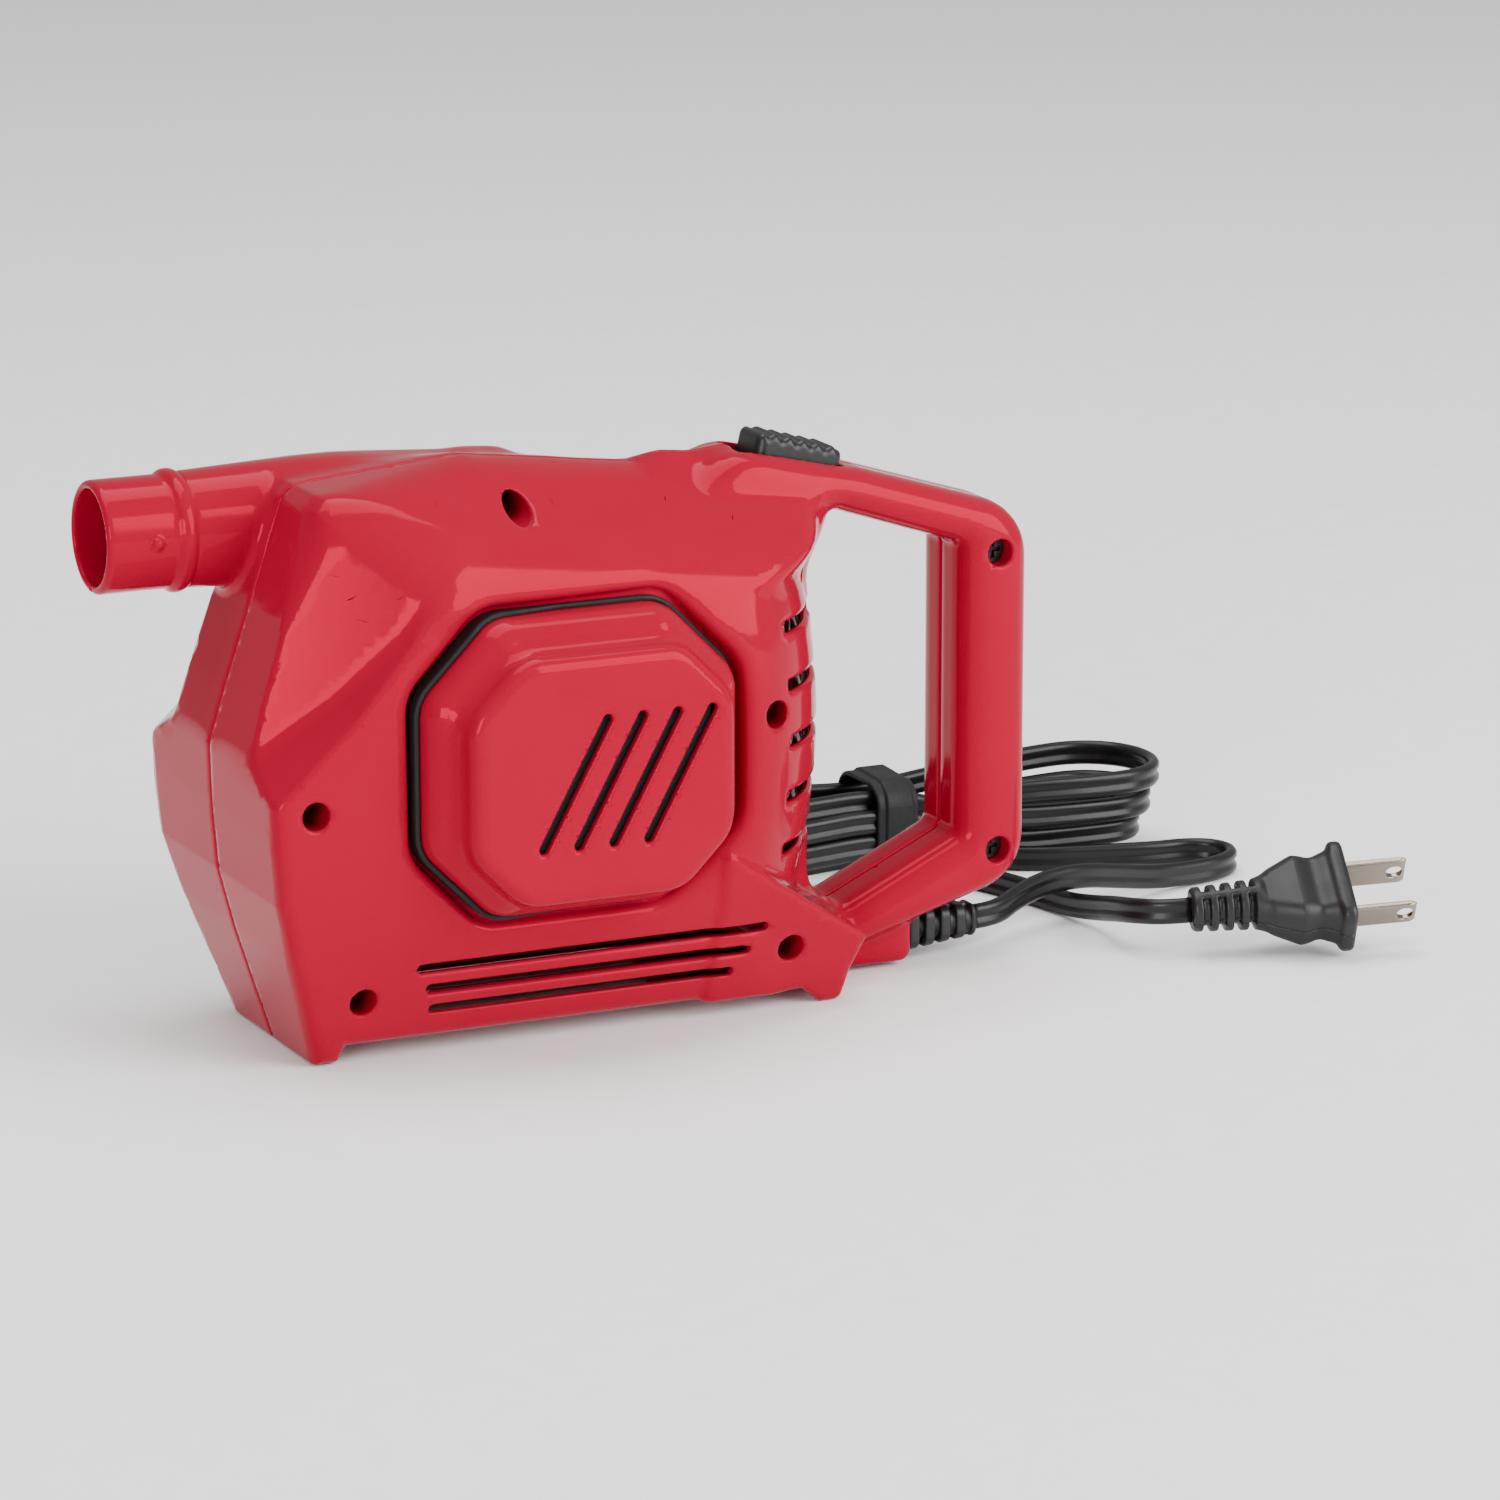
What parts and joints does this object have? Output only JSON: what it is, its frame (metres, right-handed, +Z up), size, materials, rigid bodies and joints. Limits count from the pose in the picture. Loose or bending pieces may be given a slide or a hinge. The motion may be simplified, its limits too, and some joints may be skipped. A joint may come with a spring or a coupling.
{
  "type": "electric air mattress pump",
  "caption": "Hand-held mains air pump: a two-part moulded body on feet with a loop handle, a side motor cover, an outlet nozzle, a fan, a slide switch and a two-core cord with plug.",
  "frame": {"origin": "on the floor, under the middle of the pump body from nozzle mouth to handle, on the plane where the housing halves meet", "axes": "-X out of the nozzle, +X towards the handle, -Y the motor cover side, +Y the inlet port side, +Z up"},
  "size_m": [0.3081, 0.1433, 0.13],
  "materials": {
    "red_plastic": "glossy moulded red plastic",
    "grey_plastic": "matt moulded",
    "white_plastic": "satin moulded",
    "black_plastic": "satin moulded",
    "steel": "bright turned steel",
    "screw_steel": "blackened steel",
    "copper": "enamelled copper",
    "brass": "pressed brass",
    "magnet": "sintered ferrite",
    "carbon": "pressed carbon",
    "rubber": "soft rubber",
    "circuit_board": "phenolic board",
    "capacitor": "moulded film capacitor",
    "black_wire": "wire insulation",
    "grey_wire": "wire insulation",
    "cord": "semi-gloss black vinyl",
    "cord_rubber": "satin black vinyl",
    "tie": "black tie strap",
    "blade_metal": "plated brass blades"
  },
  "bodies": {
    "housing": {"near_housing": "red_plastic", "far_housing": "red_plastic", "motor_cover": "red_plastic", "outlet_nozzle": "red_plastic", "inlet_port": "red_plastic", "fan_scroll": "grey_plastic", "fan_plate": "grey_plastic", "motor_can": "steel", "front_bearing": "steel", "rear_bearing": "steel", "motor_magnets": "magnet", "motor_end_bell": "black_plastic", "brush_holders": "brass", "carbon_brushes": "carbon", "brush_springs": "steel", "motor_screws": "steel", "motor_mount_ring": "rubber", "rectifier_board": "circuit_board", "rectifier_diodes": "black_plastic", "suppression_capacitor": "capacitor", "switch_body": "black_plastic", "live_wire": "black_wire", "neutral_wire": "grey_wire", "switch_wire": "black_wire", "cord_inner": "cord", "cord_clamp": "black_plastic", "case_screws": "screw_steel", "strain_relief": "cord_rubber", "cord_lead": "cord", "cord_plug_lead": "cord", "cord_hank": "cord", "cord_tie": "tie", "plug_body": "cord_rubber", "plug_blades": "blade_metal"},
    "rotor": {"motor_shaft": "steel", "armature_core": "steel", "armature_windings": "copper", "commutator": "copper", "impeller": "white_plastic", "impeller_nut": "steel", "cooling_fan": "black_plastic"},
    "switch": {"switch_button": "black_plastic"}
  },
  "joints": [
    {"name": "rotor_spin", "type": "hinge", "parent": "housing", "child": "rotor", "pos_m": [-0.02, 0, 0.067], "axis": [0, 1, 0], "continuous": true},
    {"name": "switch_slide", "type": "slide", "parent": "housing", "child": "switch", "axis": [-0.9744, 0, 0.225], "range_m": [0, 0.004]}
  ]
}
